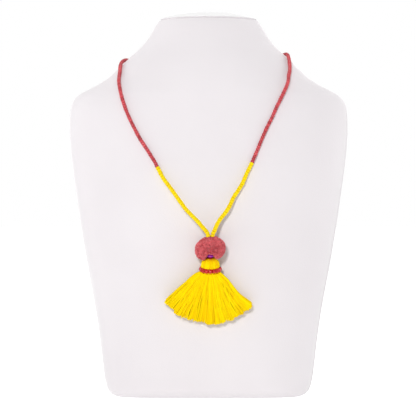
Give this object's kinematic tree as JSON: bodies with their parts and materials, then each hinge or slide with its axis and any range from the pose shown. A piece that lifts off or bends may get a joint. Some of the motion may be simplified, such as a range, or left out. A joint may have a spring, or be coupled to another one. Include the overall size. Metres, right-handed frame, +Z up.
{
  "type": "tassel necklace on a neck bust",
  "caption": "Seed-bead necklace, red then yellow down each side to a pompom and a fanned yarn tassel with a beaded waist, shown on a plain white neck bust.",
  "frame": {"origin": "on the foot's flat face, under the middle of the neck", "axes": "+Z up from the foot to the cap of the neck; +X to the viewer's right across the shoulders; -Y out of the chest, towards the viewer"},
  "size_m": [0.2218, 0.1249, 0.304],
  "materials": {
    "bust_cover": "smooth matte white leatherette",
    "red_bead_glass": "opaque glossy seed beads",
    "yellow_bead_glass": "opaque glossy seed beads",
    "pompom_yarn": "clipped fluffy yarn",
    "tassel_yarn": "combed soft yarn",
    "thread": "twisted thread",
    "purple_glass": "polished opaque",
    "garnet_glass": "polished opaque",
    "clasp_metal": "polished silver tone"
  },
  "bodies": {
    "root": {"bust": "bust_cover", "clasp": "clasp_metal", "red_strand_left": "red_bead_glass", "red_strand_right": "red_bead_glass", "yellow_strand_left": "yellow_bead_glass", "yellow_strand_right": "yellow_bead_glass", "pompom": "pompom_yarn", "drop_cord": "thread", "purple_bead": "purple_glass", "garnet_bead": "garnet_glass", "tassel": "tassel_yarn", "bead_band": "red_bead_glass"}
  },
  "joints": []
}
